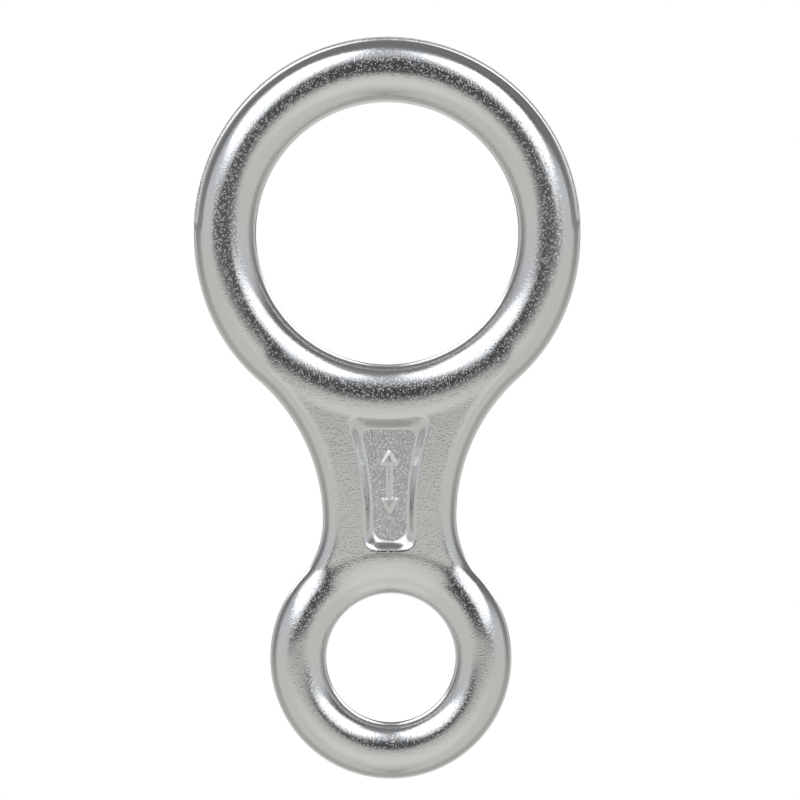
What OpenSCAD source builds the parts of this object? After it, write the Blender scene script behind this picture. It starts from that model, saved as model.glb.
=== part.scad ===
// Figure-eight descender: one forging with a large rope eye, a small carabiner eye
// and a waisted neck between them. It hangs in the XZ plane with its rope eye on top.
// The origin is the centre of the rope eye. Both faces look along Y, and the front is -Y.
// Units are millimetres.

/* [Overall] */
// Length over both rings
overall_length = 150; // [148:0.5:152]
// Height of the flat band that the trimmed flash leaves round every edge
land_h = 1.6; // [1.2:0.1:2]

/* [Rope eye] */
// Diameter of the large hole, which a bight of rope goes through
rope_eye_d = 53.2; // [52:0.2:54]
// Outer diameter of the large ring
rope_ring_d = 79.2; // [78.4:0.2:80]
// Thickness of the large ring, across its flattened crest
rope_ring_t = 11.4; // [11.2:0.1:12]

/* [Carabiner eye] */
// Diameter of the small hole, which the harness carabiner goes through
carabiner_eye_d = 26.2; // [25:0.2:27]
// Outer diameter of the small ring
carabiner_ring_d = 48.8; // [48:0.2:50]
// Thickness of the small ring, across its flattened crest
carabiner_ring_t = 10.6; // [10.4:0.1:11]

/* [Neck] */
// Width at the narrowest place
waist_w = 27; // [26:0.5:28]
// Distance from the centre of the rope eye down to the narrowest place
waist_drop = 58; // [57:0.5:59]
// Thickness where the neck leaves the large ring
neck_top_t = 10.6; // [10.2:0.1:10.8]
// Thickness where the neck runs into the small ring
neck_bottom_t = 10; // [9.6:0.1:10.2]
// Radius that rounds the neck's long edges
edge_r = 6; // [5.9:0.1:6.2]
// How far the neck's hollow sides run into the rings
blend = 0.3; // [0.2:0.1:0.6]

/* [Panel] */
// Depth of the sunk panel in each face of the neck, at its lower end
panel_depth = 1.3; // [0.8:0.1:1.6]
// Distance from the neck's side to the edge of the panel
panel_margin = 8.1; // [7.8:0.1:8.6]
// Distance from the centre of the rope eye to the top edge of the panel
panel_top = 37.4; // [37:0.1:38.5]
// Height of the panel
panel_h = 26.8; // [25:0.2:28]
// Width of the panel's sloping wall, seen from the front
panel_wall = 2; // [1.4:0.1:2.2]

/* [Load mark] */
// Length of the raised double arrow along the direction of load
mark_length = 12; // [10:0.5:14]
// Width of its heads
mark_head_w = 3.4; // [2.6:0.2:4]
// Width of its shaft
mark_shaft_w = 1; // [0.8:0.1:1.4]
// How far it stands out of the panel's floor
mark_h = 0.35; // [0.2:0.05:0.5]
// Distance from the centre of the rope eye down to the middle of the mark
mark_drop = 50; // [48:0.5:52]

/* [Hidden] */
$fn = 96;
rope_eye_r = rope_eye_d / 2;
rope_ring_r = rope_ring_d / 2;
carabiner_eye_r = carabiner_eye_d / 2;
carabiner_ring_r = carabiner_ring_d / 2;
eye_spacing = overall_length - rope_ring_r - carabiner_ring_r;
rope_crest_r = (rope_eye_r + rope_ring_r) / 2;
carabiner_crest_r = (carabiner_eye_r + carabiner_ring_r) / 2;
waist_rise = eye_spacing - waist_drop;
edge_inset = sqrt(edge_r * edge_r - land_h * land_h / 4);
panel_bottom = panel_top + panel_h;
panel_slope = panel_wall / panel_depth;
mark_head_l = mark_head_w * 0.8;
past = 1; // how far a cutter runs past what it cuts

// Half the thickness of the neck at a distance below the rope eye's centre
function neck_half(drop) =
    let (share = (drop - rope_crest_r) / (eye_spacing - carabiner_crest_r - rope_crest_r))
    (neck_top_t + (neck_bottom_t - neck_top_t) * share) / 2;

// Radius of a hollow side, upright at the waist, that runs into a ring at a distance from it
function flank_r(ring_r, distance) =
    blend + (distance * distance + waist_w * waist_w / 4 - ring_r * ring_r) / (2 * ring_r - waist_w);

// A point this far from a ring's centre, towards the centre of that hollow side
function towards_flank(ring_r, distance, reach) =
    let (way = [waist_w / 2 + flank_r(ring_r, distance), distance])
    reach / norm(way) * way;

// A round section trimmed flat at its sides
module trimmed_section(start, width, centre, r) {
    intersection() {
        translate([centre, 0]) circle(r);
        translate([start, -r - past]) square([width, 2 * (r + past)]);
    }
}

// A ring of round section, trimmed to a flat band at both edges and flattened on its crest
module ring(eye_r, ring_r, thickness) {
    width = ring_r - eye_r;
    rotate_extrude()
        intersection() {
            trimmed_section(eye_r, width, eye_r + width / 2, norm([width, land_h]) / 2);
            translate([eye_r - past, -thickness / 2]) square([width + 2 * past, thickness]);
        }
}

// What lies outside one hollow side, from the waist up, with the rounding of its two edges
module flank_cutter(ring_r, distance) {
    r = flank_r(ring_r, distance);
    translate([waist_w / 2 + r, 0])
        rotate([0, 0, 90])
            rotate_extrude(angle = 90)
                difference() {
                    translate([0, -edge_r - past]) square([r + edge_inset, 2 * (edge_r + past)]);
                    trimmed_section(r, edge_r + past, r + edge_inset, edge_r);
                }
}

// The neck from the front, before its hollow sides are cut
module neck_outline() {
    top_out = towards_flank(rope_ring_r, waist_drop, rope_ring_r + past);
    top_in = towards_flank(rope_ring_r, waist_drop, rope_eye_r);
    low_out = towards_flank(carabiner_ring_r, waist_rise, carabiner_ring_r + past);
    low_in = towards_flank(carabiner_ring_r, waist_rise, carabiner_eye_r);
    difference() {
        for (side = [0, 1])
            mirror([side, 0])
                polygon([
                    [0, -top_in.y], [top_in.x, -top_in.y], [top_out.x, -top_out.y],
                    [carabiner_ring_r, -waist_drop], [low_out.x, low_out.y - eye_spacing],
                    [low_in.x, low_in.y - eye_spacing], [0, low_in.y - eye_spacing]
                ]);
        circle(rope_crest_r);
        translate([0, -eye_spacing]) circle(carabiner_crest_r);
    }
}

// The neck's side view, which thins from the large ring to the small one
module neck_wedge() {
    rotate([90, 0, 90])
        linear_extrude(2 * rope_ring_d, center = true)
            polygon([
                [0, neck_half(0)], [-eye_spacing, neck_half(eye_spacing)],
                [-eye_spacing, -neck_half(eye_spacing)], [0, -neck_half(0)]
            ]);
}

module neck() {
    difference() {
        intersection() {
            linear_extrude(rope_ring_r, center = true) neck_outline();
            neck_wedge();
        }
        translate([0, -waist_drop])
            for (side = [0, 1])
                mirror([side, 0, 0]) {
                    flank_cutter(rope_ring_r, waist_drop);
                    mirror([0, 1, 0]) flank_cutter(carabiner_ring_r, waist_rise);
                }
    }
}

// What a sunk panel takes out: its sides follow the neck's sides and its top follows the large ring
module panel_cutter() {
    tall = panel_depth + 2;
    flank = flank_r(rope_ring_r, waist_drop);
    side_r = flank + panel_margin + panel_wall;
    top_r = panel_top + panel_wall;
    lean = panel_slope * tall;
    translate([0, 0, neck_half(panel_bottom) - panel_depth])
        difference() {
            translate([-rope_ring_r / 2, -panel_bottom, 0]) cube([rope_ring_r, panel_h + past, tall]);
            for (side = [-1, 1])
                translate([side * (waist_w / 2 + flank), -waist_drop])
                    cylinder(tall, side_r, side_r - lean);
            cylinder(tall, top_r, top_r - lean);
            translate([0, panel_wall - panel_bottom])
                rotate([atan(panel_slope), 0, 0])
                    translate([-rope_ring_r, -rope_ring_r, -rope_ring_r / 2])
                        cube([rope_ring_d, rope_ring_r, rope_ring_r]);
        }
}

// A double arrow along the load
module load_mark() {
    tip = mark_length / 2;
    shaft = tip - mark_head_l;
    translate([0, -mark_drop])
        linear_extrude(neck_half(panel_bottom) - panel_depth + mark_h)
            polygon([
                [0, tip], [mark_head_w / 2, shaft], [mark_shaft_w / 2, shaft],
                [mark_shaft_w / 2, -shaft], [mark_head_w / 2, -shaft], [0, -tip],
                [-mark_head_w / 2, -shaft], [-mark_shaft_w / 2, -shaft],
                [-mark_shaft_w / 2, shaft], [-mark_head_w / 2, shaft]
            ]);
}

module forged_body() {
    color("silver")
        rotate([90, 0, 0]) {
            difference() {
                union() {
                    ring(rope_eye_r, rope_ring_r, rope_ring_t);
                    translate([0, -eye_spacing])
                        ring(carabiner_eye_r, carabiner_ring_r, carabiner_ring_t);
                    neck();
                }
                panel_cutter();
                mirror([0, 0, 1]) panel_cutter();
            }
            load_mark();
        }
}

forged_body();
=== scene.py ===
"""Figure-eight descender: a forged aluminium body with two eyes, in the CAD model's frame."""

import math

import bpy
import numpy as np
from mathutils import Matrix, Vector
from mathutils.geometry import delaunay_2d_cdt


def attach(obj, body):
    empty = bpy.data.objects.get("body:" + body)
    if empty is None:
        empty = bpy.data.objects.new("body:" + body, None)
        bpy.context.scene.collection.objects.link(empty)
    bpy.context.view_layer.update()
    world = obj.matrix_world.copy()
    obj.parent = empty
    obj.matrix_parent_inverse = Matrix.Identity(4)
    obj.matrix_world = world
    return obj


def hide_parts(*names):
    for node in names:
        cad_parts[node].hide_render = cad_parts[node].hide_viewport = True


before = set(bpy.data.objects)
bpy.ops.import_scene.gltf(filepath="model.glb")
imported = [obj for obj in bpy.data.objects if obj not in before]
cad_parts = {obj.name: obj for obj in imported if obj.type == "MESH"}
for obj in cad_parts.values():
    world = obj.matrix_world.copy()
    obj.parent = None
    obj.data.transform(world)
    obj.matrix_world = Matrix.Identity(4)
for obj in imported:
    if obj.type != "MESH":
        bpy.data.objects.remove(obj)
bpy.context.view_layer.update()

# ---------------------------------------------------------------- sizes, in millimetres
ROPE_EYE_R = 26.6
ROPE_RING_R = 39.6
ROPE_CREST_H = 5.6
ROPE_SIDE_R = 39.1  # the large ring is a little slimmer at its sides than on top
SMALL_EYE_R = 13.1
SMALL_RING_R = 24.4
SMALL_CREST_H = 5.0
SPACING = 86.0
WAIST_HALF = 13.5
WAIST_DROP = 58.0
LAND = 0.8  # half the height of the flat band round every edge
RING_POWER = 2.5  # how square the rings' section is: 2 is an ellipse
RING_ROOT = 2.2
OUTER_FALL = 1.5  # how steeply the section goes on outside its ring
HALF_LIMIT = 5.68  # the half thickness that no fillet passes
LIMIT_BLEND = 0.3

PLATEAU_TOP = 5.35  # half thickness of the neck at its top and bottom
PLATEAU_LOW = 4.4
PLATEAU_START = 36.0  # how far below the rope eye's centre the plateau starts
PLATEAU_RUN = 30.0
TAIL_START = 65.0  # below this the plateau bends down towards the small eye
TAIL_BEND = 0.0125
EDGE_W = 3.6  # width of the rounding along the neck's sides
EDGE_POWER = 2.1
HOLE_W = 8.0  # width of the rounding towards the small eye
HOLE_POWER = 2.4
FILLET = 0.9  # how wide the neck and the rings run into each other
NECK_FADE = (-2.0, 1.0)  # from the large ring's crest, where the neck comes in
JOIN_FADE = (math.radians(-6), math.radians(3))  # from where the neck's sides meet the rings

DIP = 1.0  # how much lower the small ring is where the neck joins it
DIP_ANGLES = (8.0, 80.0)  # full to none, in degrees from the ring's top
DIP_INNER_W = 2.5
DIP_OUTER_W = 3.0
DIP_RIM_ANGLES = (30.0, 46.0)

PANEL_TOP = 37.7
PANEL_LOW = 64.1
PANEL_LOW_HALF = 5.3
PANEL_SIDE_R = 66.0
PANEL_DEPTH = 1.25
PANEL_WALL = 1.9
WALL_FADE = (-0.12, 1.05)  # where the wall starts and ends, in shares of its width
FLOOR_FADE = (0.55, 1.0)  # where the floor's coarser grain comes in
PANEL_TOP_CORNER = 3.2
PANEL_LOW_CORNER = 3.4

ARROW_DROP = 50.2  # its middle, below the rope eye's centre
ARROW_HALF = 6.2
ARROW_HEAD = 2.7
ARROW_SHAFT_HALF_W = 0.42
ARROW_SHAFT_HALF = 4.6
ARROW_H = 0.3
ARROW_WALL = (-0.12, 0.16)
ARROW_NORMAL = (0.5, 0.86)  # along and across the load, of the head's slanted sides

SLIM_ANGLE = 40.0  # below its centre, where the large ring is full width again
SLIM_END_Z = -33.0

rope_w = (ROPE_RING_R - ROPE_EYE_R) / 2
small_w = (SMALL_RING_R - SMALL_EYE_R) / 2
rope_crest = ROPE_EYE_R + rope_w
small_crest = SMALL_EYE_R + small_w
rise = SPACING - WAIST_DROP
# the neck's hollow sides: an arc from the waist to the large ring, and one to the small ring
UP_R = (WAIST_DROP**2 + WAIST_HALF**2 - ROPE_RING_R**2) / (2 * (ROPE_RING_R - WAIST_HALF))
LOW_R = (rise**2 + WAIST_HALF**2 - SMALL_RING_R**2) / (2 * (SMALL_RING_R - WAIST_HALF))
UP_C = np.array([WAIST_HALF + UP_R, -WAIST_DROP])
LOW_C = np.array([WAIST_HALF + LOW_R, -WAIST_DROP])
TOUCH_UP = math.atan2(UP_C[0], -UP_C[1])  # from straight down to where the side meets the ring
TOUCH_LOW = math.atan2(LOW_C[0], LOW_C[1] + SPACING)  # from straight up, at the small ring


# ---------------------------------------------------------------- the face as a height field
def smooth(a, b, t):
    t = np.clip((t - a) / (b - a), 0.0, 1.0)
    return t * t * (3 - 2 * t)


def smax(a, b, k):
    h = np.maximum(k - np.abs(a - b), 0.0) / k
    return np.maximum(a, b) + h * h * k / 4


def smin(a, b, k):
    return -smax(-a, -b, k)


def section(u, top):
    """Height of a ring's rounded section, LAND high at |u| = 1 and top high at u = 0."""
    u = np.clip(np.abs(u), 0.0, 1.0)
    return LAND + (top - LAND) * (1 - u**RING_POWER) ** (1 / RING_ROOT)


def beyond_ring(height, r, ring_r):
    """The section inside the ring, and a slope that falls away outside it."""
    return np.where(r > ring_r, LAND - (r - ring_r) * OUTER_FALL, height)


def flank_depth(x, z):
    """Distance into the neck from its nearer hollow side."""
    ax = np.abs(x)
    up = np.hypot(ax - UP_C[0], z - UP_C[1]) - UP_R
    low = np.hypot(ax - LOW_C[0], z - LOW_C[1]) - LOW_R
    return np.where(z > -WAIST_DROP, up, low)


def side_angle(x, z):
    """How far a point is inside the neck's share of either ring, in radians."""
    up = TOUCH_UP - np.arctan2(np.abs(x), -z)
    low = TOUCH_LOW - np.arctan2(np.abs(x), z + SPACING)
    return np.minimum(up, low)


def panel_inside(x, z):
    """Distance into the panel's outline."""
    drop = -z
    side_c = PANEL_LOW_HALF + PANEL_SIDE_R
    above = np.maximum(WAIST_DROP - drop, 0.0)
    side = np.hypot(side_c - np.abs(x), above) - PANEL_SIDE_R
    top = np.hypot(x, z) - PANEL_TOP
    low = PANEL_LOW - drop
    return smin(smin(side, top, PANEL_TOP_CORNER), low, PANEL_LOW_CORNER)


def arrow_inside(x, z):
    """Distance into the double arrow that points along the load."""
    v = np.abs(z + ARROW_DROP)
    ax = np.abs(x)
    shaft = np.minimum(ARROW_SHAFT_HALF_W - ax, ARROW_SHAFT_HALF - v)
    along, across = ARROW_NORMAL
    flare = (ARROW_HALF - v) * along - ax * across
    head = np.minimum(flare, v - (ARROW_HALF - ARROW_HEAD))
    return np.maximum(shaft, head)


def neck_height(x, z, rs):
    """The plateau, rounded off at the neck's sides and towards the small eye."""
    drop = -z
    share = (drop - PLATEAU_START) / PLATEAU_RUN
    plateau = PLATEAU_TOP + (PLATEAU_LOW - PLATEAU_TOP) * share
    plateau = plateau - TAIL_BEND * np.maximum(drop - TAIL_START, 0.0) ** 2
    t = np.clip(flank_depth(x, z) / EDGE_W, 0.0, 1.0)
    hole = np.clip((rs - SMALL_EYE_R) / HOLE_W, 0.0, 1.0)
    neck = LAND + (plateau - LAND) * (1 - (1 - t) ** EDGE_POWER) ** 0.5
    return LAND + (neck - LAND) * (1 - (1 - hole) ** HOLE_POWER) ** (1 / RING_ROOT)


def small_ring_height(x, z, rs):
    """The small ring's section, lower on top, where the neck runs down into the eye."""
    small = section((rs - small_crest) / small_w, SMALL_CREST_H)
    angle = np.degrees(np.arctan2(np.abs(x), z + SPACING))
    rim = smooth(0.0, DIP_OUTER_W, SMALL_RING_R - rs)
    rim = rim + (1 - rim) * (1 - smooth(*DIP_RIM_ANGLES, angle))
    small = small - DIP * (1 - smooth(*DIP_ANGLES, angle)) * smooth(0.0, DIP_INNER_W, rs - SMALL_EYE_R) * rim
    return beyond_ring(small, rs, SMALL_RING_R)


def face(x, z, front):
    """Half the body's thickness at a point of its outline."""
    rho = np.hypot(x, z)
    rs = np.hypot(x, z + SPACING)
    big = beyond_ring(section((rho - rope_crest) / rope_w, ROPE_CREST_H), rho, ROPE_RING_R)
    small = small_ring_height(x, z, rs)
    in_neck = smooth(*NECK_FADE, rho - rope_crest)
    joined = big + (smax(big, neck_height(x, z, rs), FILLET) - big) * in_neck
    joined = smax(joined, small, FILLET)
    alone = np.maximum(np.where(rho <= ROPE_RING_R + 0.01, big, small), LAND)
    share = smooth(*JOIN_FADE, side_angle(x, z))
    between_eyes = (flank_depth(x, z) > -0.01) & (z < 0) & (z + SPACING > 0)
    h = np.where(between_eyes, alone + (joined - alone) * share, alone)
    h = smin(h, HALF_LIMIT, LIMIT_BLEND)
    floor_h = PLATEAU_LOW - PANEL_DEPTH
    inside = panel_inside(x, z)
    sunk = h - (h - floor_h) * smooth(*WALL_FADE, np.clip(inside / PANEL_WALL, -1.0, 2.0))
    h = np.where(inside > -1.0, sunk, h)
    if front:
        h = h + ARROW_H * smooth(*ARROW_WALL, arrow_inside(x, z))
    return h


# ---------------------------------------------------------------- mesh
BAND = 5.4  # width of the bands of quads along the outline
OUTLINE_STEP = 0.7
BAND_ROWS = 14
EYE_ROWS = 16
FINE = 0.22  # grid of points over the panel's walls and the arrow
COARSE = 0.55
MIDDLE_X = 26.0  # the box that those points fill, before the outline cuts it
MIDDLE_Z = (-70.0, -22.0)
ROPE_ARC_STEP = 0.6
SMALL_ARC_STEP = 0.45


def arc(centre, radius, start, stop, step):
    """Points on an arc from start to stop, in degrees, without its last point."""
    n = max(2, round(abs(math.radians(stop - start)) * radius / step))
    a = np.radians(start + (stop - start) * np.arange(n) / n)
    return np.c_[centre[0] + radius * np.cos(a), centre[1] + radius * np.sin(a)]


def outline(inset):
    """The outer outline moved inwards, with the same columns at any inset, as six arcs."""
    up = math.degrees(TOUCH_UP)
    low = math.degrees(TOUCH_LOW)
    up_start = math.degrees(math.atan2(-UP_C[1], -UP_C[0]))
    low_start = math.degrees(math.atan2(-SPACING - LOW_C[1], -LOW_C[0]))

    def run(centre, nominal, sign, start, stop):
        n = max(2, round(abs(math.radians(stop - start)) * nominal / OUTLINE_STEP))
        a = np.radians(start + (stop - start) * np.arange(n) / n)
        r = nominal - sign * inset
        return np.c_[centre[0] + r * np.cos(a), centre[1] + r * np.sin(a)]

    return [
        run((0.0, 0.0), ROPE_RING_R, 1, -90 + up, 270 - up),
        run((-UP_C[0], UP_C[1]), UP_R, -1, 180 - up_start, 0),
        run((-LOW_C[0], LOW_C[1]), LOW_R, -1, 0, -180 - low_start),
        run((0.0, -SPACING), SMALL_RING_R, 1, 90 + low, 450 - low),
        run(LOW_C, LOW_R, -1, low_start + 360, 180),
        run(UP_C, UP_R, -1, 180, up_start),
    ]


def rows(width, n):
    """Distances from an edge, close together where the section is steep."""
    k = np.arange(n + 1) / n
    return width * (1 - np.cos(k * math.pi / 2)) ** 1.15


class Sheet:
    """Points of one face, each place once, with the faces between them."""

    def __init__(self):
        self.index = {}
        self.points = []
        self.faces = []

    def add(self, p):
        key = (round(p[0], 4), round(p[1], 4))
        if key not in self.index:
            self.index[key] = len(self.points)
            self.points.append((float(p[0]), float(p[1])))
        return self.index[key]

    def band(self, loops):
        """Quads between closed loops of the same length."""
        ids = [[self.add(p) for p in loop] for loop in loops]
        for a, b in zip(ids, ids[1:], strict=False):
            n = len(a)
            for i in range(n):
                self.faces.append((a[i], a[(i + 1) % n], b[(i + 1) % n], b[i]))


def unique_loop(stretches):
    """One closed border from its stretches, each place once."""
    seen = {}
    for p in np.vstack(stretches):
        seen.setdefault((round(p[0], 4), round(p[1], 4)), p)
    return np.array(list(seen.values()))


def middle_points():
    """Points inside the neck, close together over the panel's walls and the arrow."""
    found = []
    for step in (FINE, COARSE):
        grid = np.meshgrid(np.arange(-MIDDLE_X, MIDDLE_X + 0.01, step), np.arange(*MIDDLE_Z, step))
        x, z = grid[0].ravel(), grid[1].ravel()
        near = panel_inside(x, z)
        detail = (near > -1.4) & (near < PANEL_WALL + 0.9)
        detail |= (np.abs(x) < 2.2) & (np.abs(z + ARROW_DROP) < 7.0)
        inside = (
            (flank_depth(x, z) > BAND + 0.3 * step)
            & (np.hypot(x, z) > ROPE_RING_R - BAND + 0.4 * step)
            & (np.hypot(x, z + SPACING) > SMALL_RING_R - BAND + 0.4 * step)
            & (side_angle(x, z) > 0)
        )
        found.append(np.c_[x, z][inside & (detail if step == FINE else ~detail)])
    return np.vstack(found)


def make_sheet():
    """One face: a band along the outline, a band round each eye, and the middle of the neck."""
    sheet = Sheet()
    sheet.band([np.vstack(outline(t)) for t in rows(BAND, BAND_ROWS)])
    rope_free, up_left, low_left, small_free, low_right, up_right = outline(BAND)
    up = math.degrees(TOUCH_UP)
    low = math.degrees(TOUCH_LOW)
    rope_low = arc((0.0, 0.0), ROPE_RING_R - BAND, 270 - up, 270 + up, ROPE_ARC_STEP)
    small_top = arc((0.0, -SPACING), SMALL_RING_R - BAND, 90 - low, 90 + low, SMALL_ARC_STEP)
    for loop, centre, eye, width in (
        (np.vstack([rope_free, rope_low]), (0.0, 0.0), ROPE_EYE_R, ROPE_RING_R - BAND - ROPE_EYE_R),
        (np.vstack([small_free, small_top]), (0.0, -SPACING), SMALL_EYE_R, SMALL_RING_R - BAND - SMALL_EYE_R),
    ):
        way = loop - np.array(centre)
        way = way / np.hypot(way[:, 0], way[:, 1])[:, None]
        loops = [np.array(centre) + way * (eye + t) for t in rows(width, EYE_ROWS)]
        loops[-1] = loop
        sheet.band(loops[::-1])
    right = np.vstack([low_right, up_right])
    left = np.vstack([up_left, low_left])
    stretches = [rope_low, rope_free[:1], right[::-1], small_top[1:], small_free[:1], left[::-1]]
    given = unique_loop(stretches)
    n = len(given)
    given = np.vstack([given, middle_points()])
    out = delaunay_2d_cdt([Vector(p) for p in given], [], [list(range(n))], 1, 1e-6)
    # the points keep their own places, because the triangulation rounds them
    ids = [sheet.add(given[came[0]] if came else v) for v, came in zip(out[0], out[3], strict=True)]
    for triangle in out[2]:
        corners = tuple(ids[i] for i in triangle)
        if len(set(corners)) == len(corners):
            sheet.faces.append(corners)
    return sheet


def slim(x, z):
    """Draws the large ring's outer edge in at its sides."""
    rho = np.hypot(x, z)
    a = np.degrees(np.arctan2(z, np.abs(x)))
    share = np.where(a > 0, np.cos(np.radians(a)) ** 2, 1 - smooth(0.0, SLIM_ANGLE, -a))
    less = 1 - share * (ROPE_RING_R - ROPE_SIDE_R) / rope_w
    out = np.maximum(rho - rope_crest, 0.0)
    k = np.where(out > 0, (rope_crest + out * less) / np.maximum(rho, 1e-6), 1.0)
    k = np.where(z > SLIM_END_Z, k, 1.0)
    return x * k, z * k


def build_body():
    """The front face, its mirror as the back, and the flat band between their edges."""
    sheet = make_sheet()
    p = np.array(sheet.points)
    x, z = p[:, 0], p[:, 1]
    sx, sz = slim(x, z)
    n = len(p)
    co = np.vstack([np.c_[sx, -face(x, z, True), sz], np.c_[sx, face(x, z, False), sz]]) / 1000
    faces = []
    open_edges = {}
    for f in sheet.faces:
        fx, fz = x[list(f)], z[list(f)]
        if np.sum(fx * np.roll(fz, -1) - np.roll(fx, -1) * fz) < 0:
            f = f[::-1]
        faces.append(f)
        faces.append(tuple(n + i for i in f[::-1]))
        for a, b in zip(f, f[1:] + f[:1], strict=False):
            if open_edges.pop((b, a), None) is None:
                open_edges[(a, b)] = True
    for a, b in open_edges:
        faces.append((b, a, n + a, n + b))
    mesh = bpy.data.meshes.new("forged_body_skin")
    mesh.from_pydata([tuple(c) for c in co], [], faces)
    mesh.validate()
    mesh.update()
    mesh.polygons.foreach_set("use_smooth", [True] * len(mesh.polygons))
    sunk = mesh.attributes.new("sunk", "FLOAT", "POINT")
    depth = smooth(*FLOOR_FADE, panel_inside(x, z) / PANEL_WALL)
    sunk.data.foreach_set("value", np.r_[depth, depth])
    obj = bpy.data.objects.new("forged_body_skin", mesh)
    bpy.context.scene.collection.objects.link(obj)
    return obj


body = build_body()


# ---------------------------------------------------------------- material
GRAIN_PER_METRE = 2800.0
GRAIN_PITS = (0.52, 0.78)  # the noise levels at which a pit starts and is full
TONE = (0.80, 0.86)
ROUGHNESS = (0.13, 0.26)  # on the body, and on the panel's floor
GRAIN_STRENGTH = (0.14, 0.30)


def node(tree, kind, links=(), **values):
    """A new node: in_ values are set on its inputs, others on the node itself."""
    n = tree.nodes.new(kind)
    for k, v in values.items():
        if k.startswith("in_"):
            n.inputs[k[3:].replace("_", " ")].default_value = v
        else:
            setattr(n, k, v)
    for source, socket in links:
        tree.links.new(source, n.inputs[socket])
    return n


def aluminium():
    mat = bpy.data.materials.new("tumbled_aluminium")
    mat.use_nodes = True
    t = mat.node_tree
    shader = t.nodes["Principled BSDF"]
    shader.inputs["Metallic"].default_value = 1.0
    place = node(t, "ShaderNodeTexCoord").outputs["Object"]
    sunk = node(t, "ShaderNodeAttribute", attribute_name="sunk").outputs["Fac"]

    def between(source, levels):
        """The source, from 0 to 1, as a value between two levels."""
        low, high = levels
        return node(t, "ShaderNodeMapRange", [(source, "Value")], in_To_Min=low, in_To_Max=high).outputs[0]

    cloud = node(t, "ShaderNodeTexNoise", [(place, "Vector")], in_Scale=60.0, in_Detail=3.0)
    tone = between(cloud.outputs["Fac"], TONE)
    grey = node(t, "ShaderNodeCombineColor", [(tone, 0), (tone, 1), (tone, 2)])
    fine = node(t, "ShaderNodeTexNoise", [(place, "Vector")], in_Scale=GRAIN_PER_METRE, in_Detail=1.0)
    pits = node(
        t,
        "ShaderNodeMapRange",
        [(fine.outputs["Fac"], "Value")],
        interpolation_type="SMOOTHSTEP",
        in_From_Min=GRAIN_PITS[0],
        in_From_Max=GRAIN_PITS[1],
    )
    bump = node(
        t,
        "ShaderNodeBump",
        [(pits.outputs[0], "Height"), (between(sunk, GRAIN_STRENGTH), "Strength")],
        in_Distance=0.0001,
    )
    t.links.new(grey.outputs[0], shader.inputs["Base Color"])
    t.links.new(between(sunk, ROUGHNESS), shader.inputs["Roughness"])
    t.links.new(bump.outputs[0], shader.inputs["Normal"])
    return mat


body.data.materials.append(aluminium())
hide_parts("forged_body")
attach(body, "root")


# ---------------------------------------------------------------- studio
# Heights are degrees above the horizon, and turns are degrees to the right of straight ahead.
SKY = (  # how bright the middle of the room is, as a screen shade, from straight down to straight up
    (-90, 118), (-76, 150), (-60, 171), (-45, 188), (-25, 202), (-12, 195), (-7, 188), (-4, 183),
    (-2.4, 177), (-1.3, 146), (-0.2, 88), (1.6, 50), (11, 46), (17, 78), (24, 138), (32, 164),
    (42, 172), (55, 142), (70, 118), (90, 112),
)
METAL_TONE = 0.83  # what the metal gives back of a light
SIDE_LEVEL, SIDE_TURN, SIDE_FADE = 0.58, (12.0, 32.0), (12.0, 44.0)
DARK_LEVEL, DARK_TURN, DARK_HEIGHT = 0.15, (38.0, 58.0), (16.0, 36.0)  # high up on the right
REAR_LEVELS, REAR_HEIGHT, REAR_DEPTH = (0.42, 0.19), (-30.0, 30.0), (-0.30, 0.10, 0.45, 0.75)
BOX_LEVEL, BOX_SLANT, SLANT_TURN = 1.15, 0.55, 15.0  # each softbox's foot rises away from the middle
LEFT_BOX = ((3.0, 11.0), (52.0, 66.0), (-70.0, -40.0, -10.0, -4.0))  # its foot, top and sides
RIGHT_BOX = ((0.5, 7.0), (42.0, 55.0), (4.0, 11.0, 34.0, 52.0))
WARM, COOL = (1.0, 0.995, 0.955, 1), (0.965, 0.99, 1.02, 1)
TINT_HEIGHT = (-4.0, 8.0)


def linear(shade):
    """A screen shade from 0 to 255 as linear light."""
    c = shade / 255
    return c / 12.92 if c <= 0.04045 else ((c + 0.055) / 1.055) ** 2.4


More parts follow.
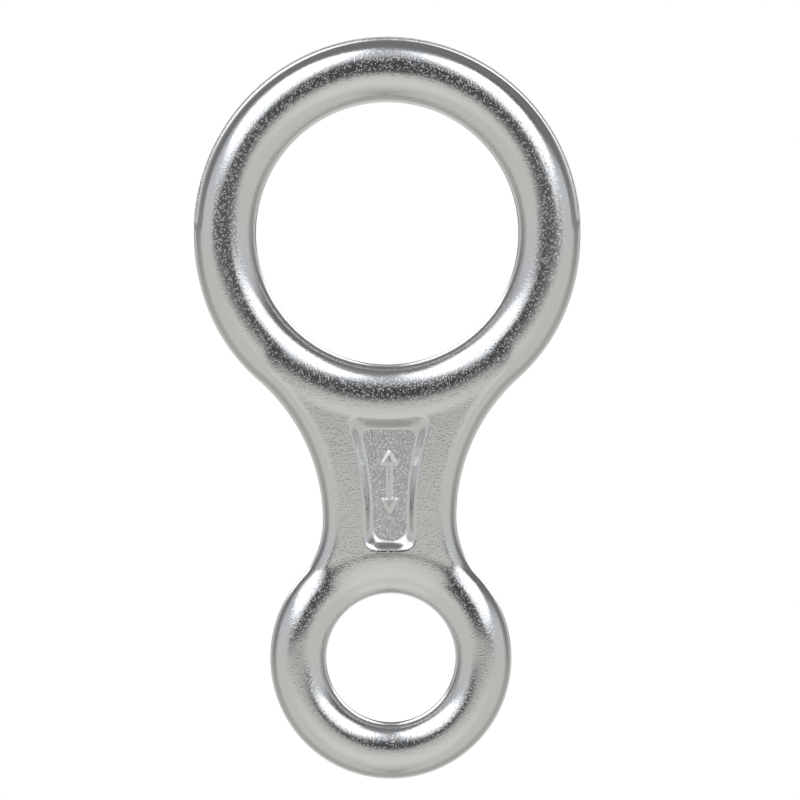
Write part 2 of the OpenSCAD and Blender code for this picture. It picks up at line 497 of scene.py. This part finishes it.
def studio_world():
    """A room at a distance: a graded middle, lighter sides, two softboxes, and white to the eye."""
    world = bpy.data.worlds.new("studio")
    bpy.context.scene.world = world
    world.use_nodes = True
    t = world.node_tree
    t.nodes.clear()
    way = node(t, "ShaderNodeTexCoord").outputs["Generated"]
    xyz = node(t, "ShaderNodeSeparateXYZ", [(way, 0)])

    def calc(op, *terms):
        m = node(t, "ShaderNodeMath", operation=op)
        for i, v in enumerate(terms):
            if isinstance(v, (int, float)):
                m.inputs[i].default_value = v
            else:
                t.links.new(v, m.inputs[i])
        return m.outputs[0]

    def step(v, a, b):
        kind = "ShaderNodeMapRange"
        links = [(v, "Value")]
        return node(t, kind, links, interpolation_type="SMOOTHSTEP", in_From_Min=a, in_From_Max=b).outputs[0]

    def rest(share):
        return calc("SUBTRACT", 1.0, share)

    def blend(share, first, second):
        return calc("ADD", calc("MULTIPLY", first, rest(share)), calc("MULTIPLY", second, share))

    def within(v, a, b, c, d):
        return calc("MULTIPLY", step(v, a, b), rest(step(v, c, d)))

    height = calc("MULTIPLY", calc("ARCSINE", xyz.outputs["Z"]), 180 / math.pi)
    ahead = calc("ABSOLUTE", xyz.outputs["Y"])  # behind the object the room is the same again
    turn = calc("MULTIPLY", calc("ARCTAN2", xyz.outputs["X"], ahead), 180 / math.pi)
    away = calc("ABSOLUTE", turn)
    rear = within(xyz.outputs["Y"], *REAR_DEPTH)

    def middle():
        level = calc("DIVIDE", calc("ADD", height, 90.0), 180.0)
        ramp = node(t, "ShaderNodeValToRGB", [(level, "Fac")])
        band = ramp.color_ramp
        while len(band.elements) < len(SKY):
            band.elements.new(0.5)
        for e, (deg, shade) in zip(band.elements, SKY, strict=True):
            v = linear(shade) / METAL_TONE
            e.position = (deg + 90) / 180
            e.color = (v, v, v, 1)
        return node(t, "ShaderNodeRGBToBW", [(ramp.outputs[0], 0)]).outputs[0]

    def softbox(foot, top, sides):
        lit = calc("MULTIPLY", step(slant, *foot), rest(step(height, *top)))
        return calc("MULTIPLY", lit, within(turn, *sides))

    side = calc("MULTIPLY", step(away, *SIDE_TURN), rest(step(height, *SIDE_FADE)))
    dark = calc("MULTIPLY", step(height, *DARK_HEIGHT), step(turn, *DARK_TURN))
    behind = blend(step(height, *REAR_HEIGHT), *REAR_LEVELS)
    room = blend(rear, blend(dark, blend(side, middle(), SIDE_LEVEL), DARK_LEVEL), behind)
    past = calc("MAXIMUM", calc("SUBTRACT", away, SLANT_TURN), 0.0)
    slant = calc("SUBTRACT", height, calc("MULTIPLY", past, BOX_SLANT))
    boxes = calc("MULTIPLY", calc("ADD", softbox(*LEFT_BOX), softbox(*RIGHT_BOX)), rest(rear))
    total = calc("ADD", room, calc("MULTIPLY", boxes, BOX_LEVEL))
    # the eye and the floor see plain white
    path = node(t, "ShaderNodeLightPath")
    seen = calc("MAXIMUM", path.outputs["Is Camera Ray"], path.outputs["Is Diffuse Ray"])
    strength = blend(seen, total, 1.0)
    tint = node(t, "ShaderNodeMix", [(step(height, *TINT_HEIGHT), 0)], data_type="RGBA")
    tint.inputs[6].default_value = WARM
    tint.inputs[7].default_value = COOL
    plain = node(t, "ShaderNodeMix", [(seen, 0), (tint.outputs[2], 6)], data_type="RGBA")
    plain.inputs[7].default_value = (1, 1, 1, 1)
    back = node(t, "ShaderNodeBackground", [(strength, "Strength"), (plain.outputs[2], "Color")])
    out = node(t, "ShaderNodeOutputWorld")
    t.links.new(back.outputs[0], out.inputs["Surface"])


FLOOR_R = 1.5
FLOOR_Z = -0.4
FLOOR_SIDES = 64


def pale_floor():
    mat = bpy.data.materials.new("pale_floor")
    mat.use_nodes = True
    shader = mat.node_tree.nodes["Principled BSDF"]
    shader.inputs["Base Color"].default_value = (0.9, 0.9, 0.9, 1)
    shader.inputs["Roughness"].default_value = 0.9
    mesh = bpy.data.meshes.new("floor")
    angles = np.linspace(0, 2 * math.pi, FLOOR_SIDES, endpoint=False)
    ring = [(FLOOR_R * math.cos(a), FLOOR_R * math.sin(a), FLOOR_Z) for a in angles]
    mesh.from_pydata(ring, [], [list(range(FLOOR_SIDES))])
    mesh.materials.append(mat)
    floor = bpy.data.objects.new("floor", mesh)
    bpy.context.scene.collection.objects.link(floor)
    floor.visible_glossy = False
    return floor


studio_world()
pale_floor()

scene = bpy.context.scene
scene.view_settings.view_transform = "Standard"

# ---------------------------------------------------------------- camera
ROLL = math.radians(0.5)
CAMERA_PLACE = (0.0023, -1.1, -0.0338)
cam_data = bpy.data.cameras.new("camera")
cam_data.lens = 244.4
cam_data.sensor_width = 36.0
cam = bpy.data.objects.new("camera", cam_data)
scene.collection.objects.link(cam)
right = Vector((math.cos(ROLL), 0, -math.sin(ROLL)))
up = Vector((math.sin(ROLL), 0, math.cos(ROLL)))
axes = Matrix((right, up, Vector((0, -1, 0)))).transposed()
cam.matrix_world = Matrix.Translation(CAMERA_PLACE) @ axes.to_4x4()
scene.camera = cam
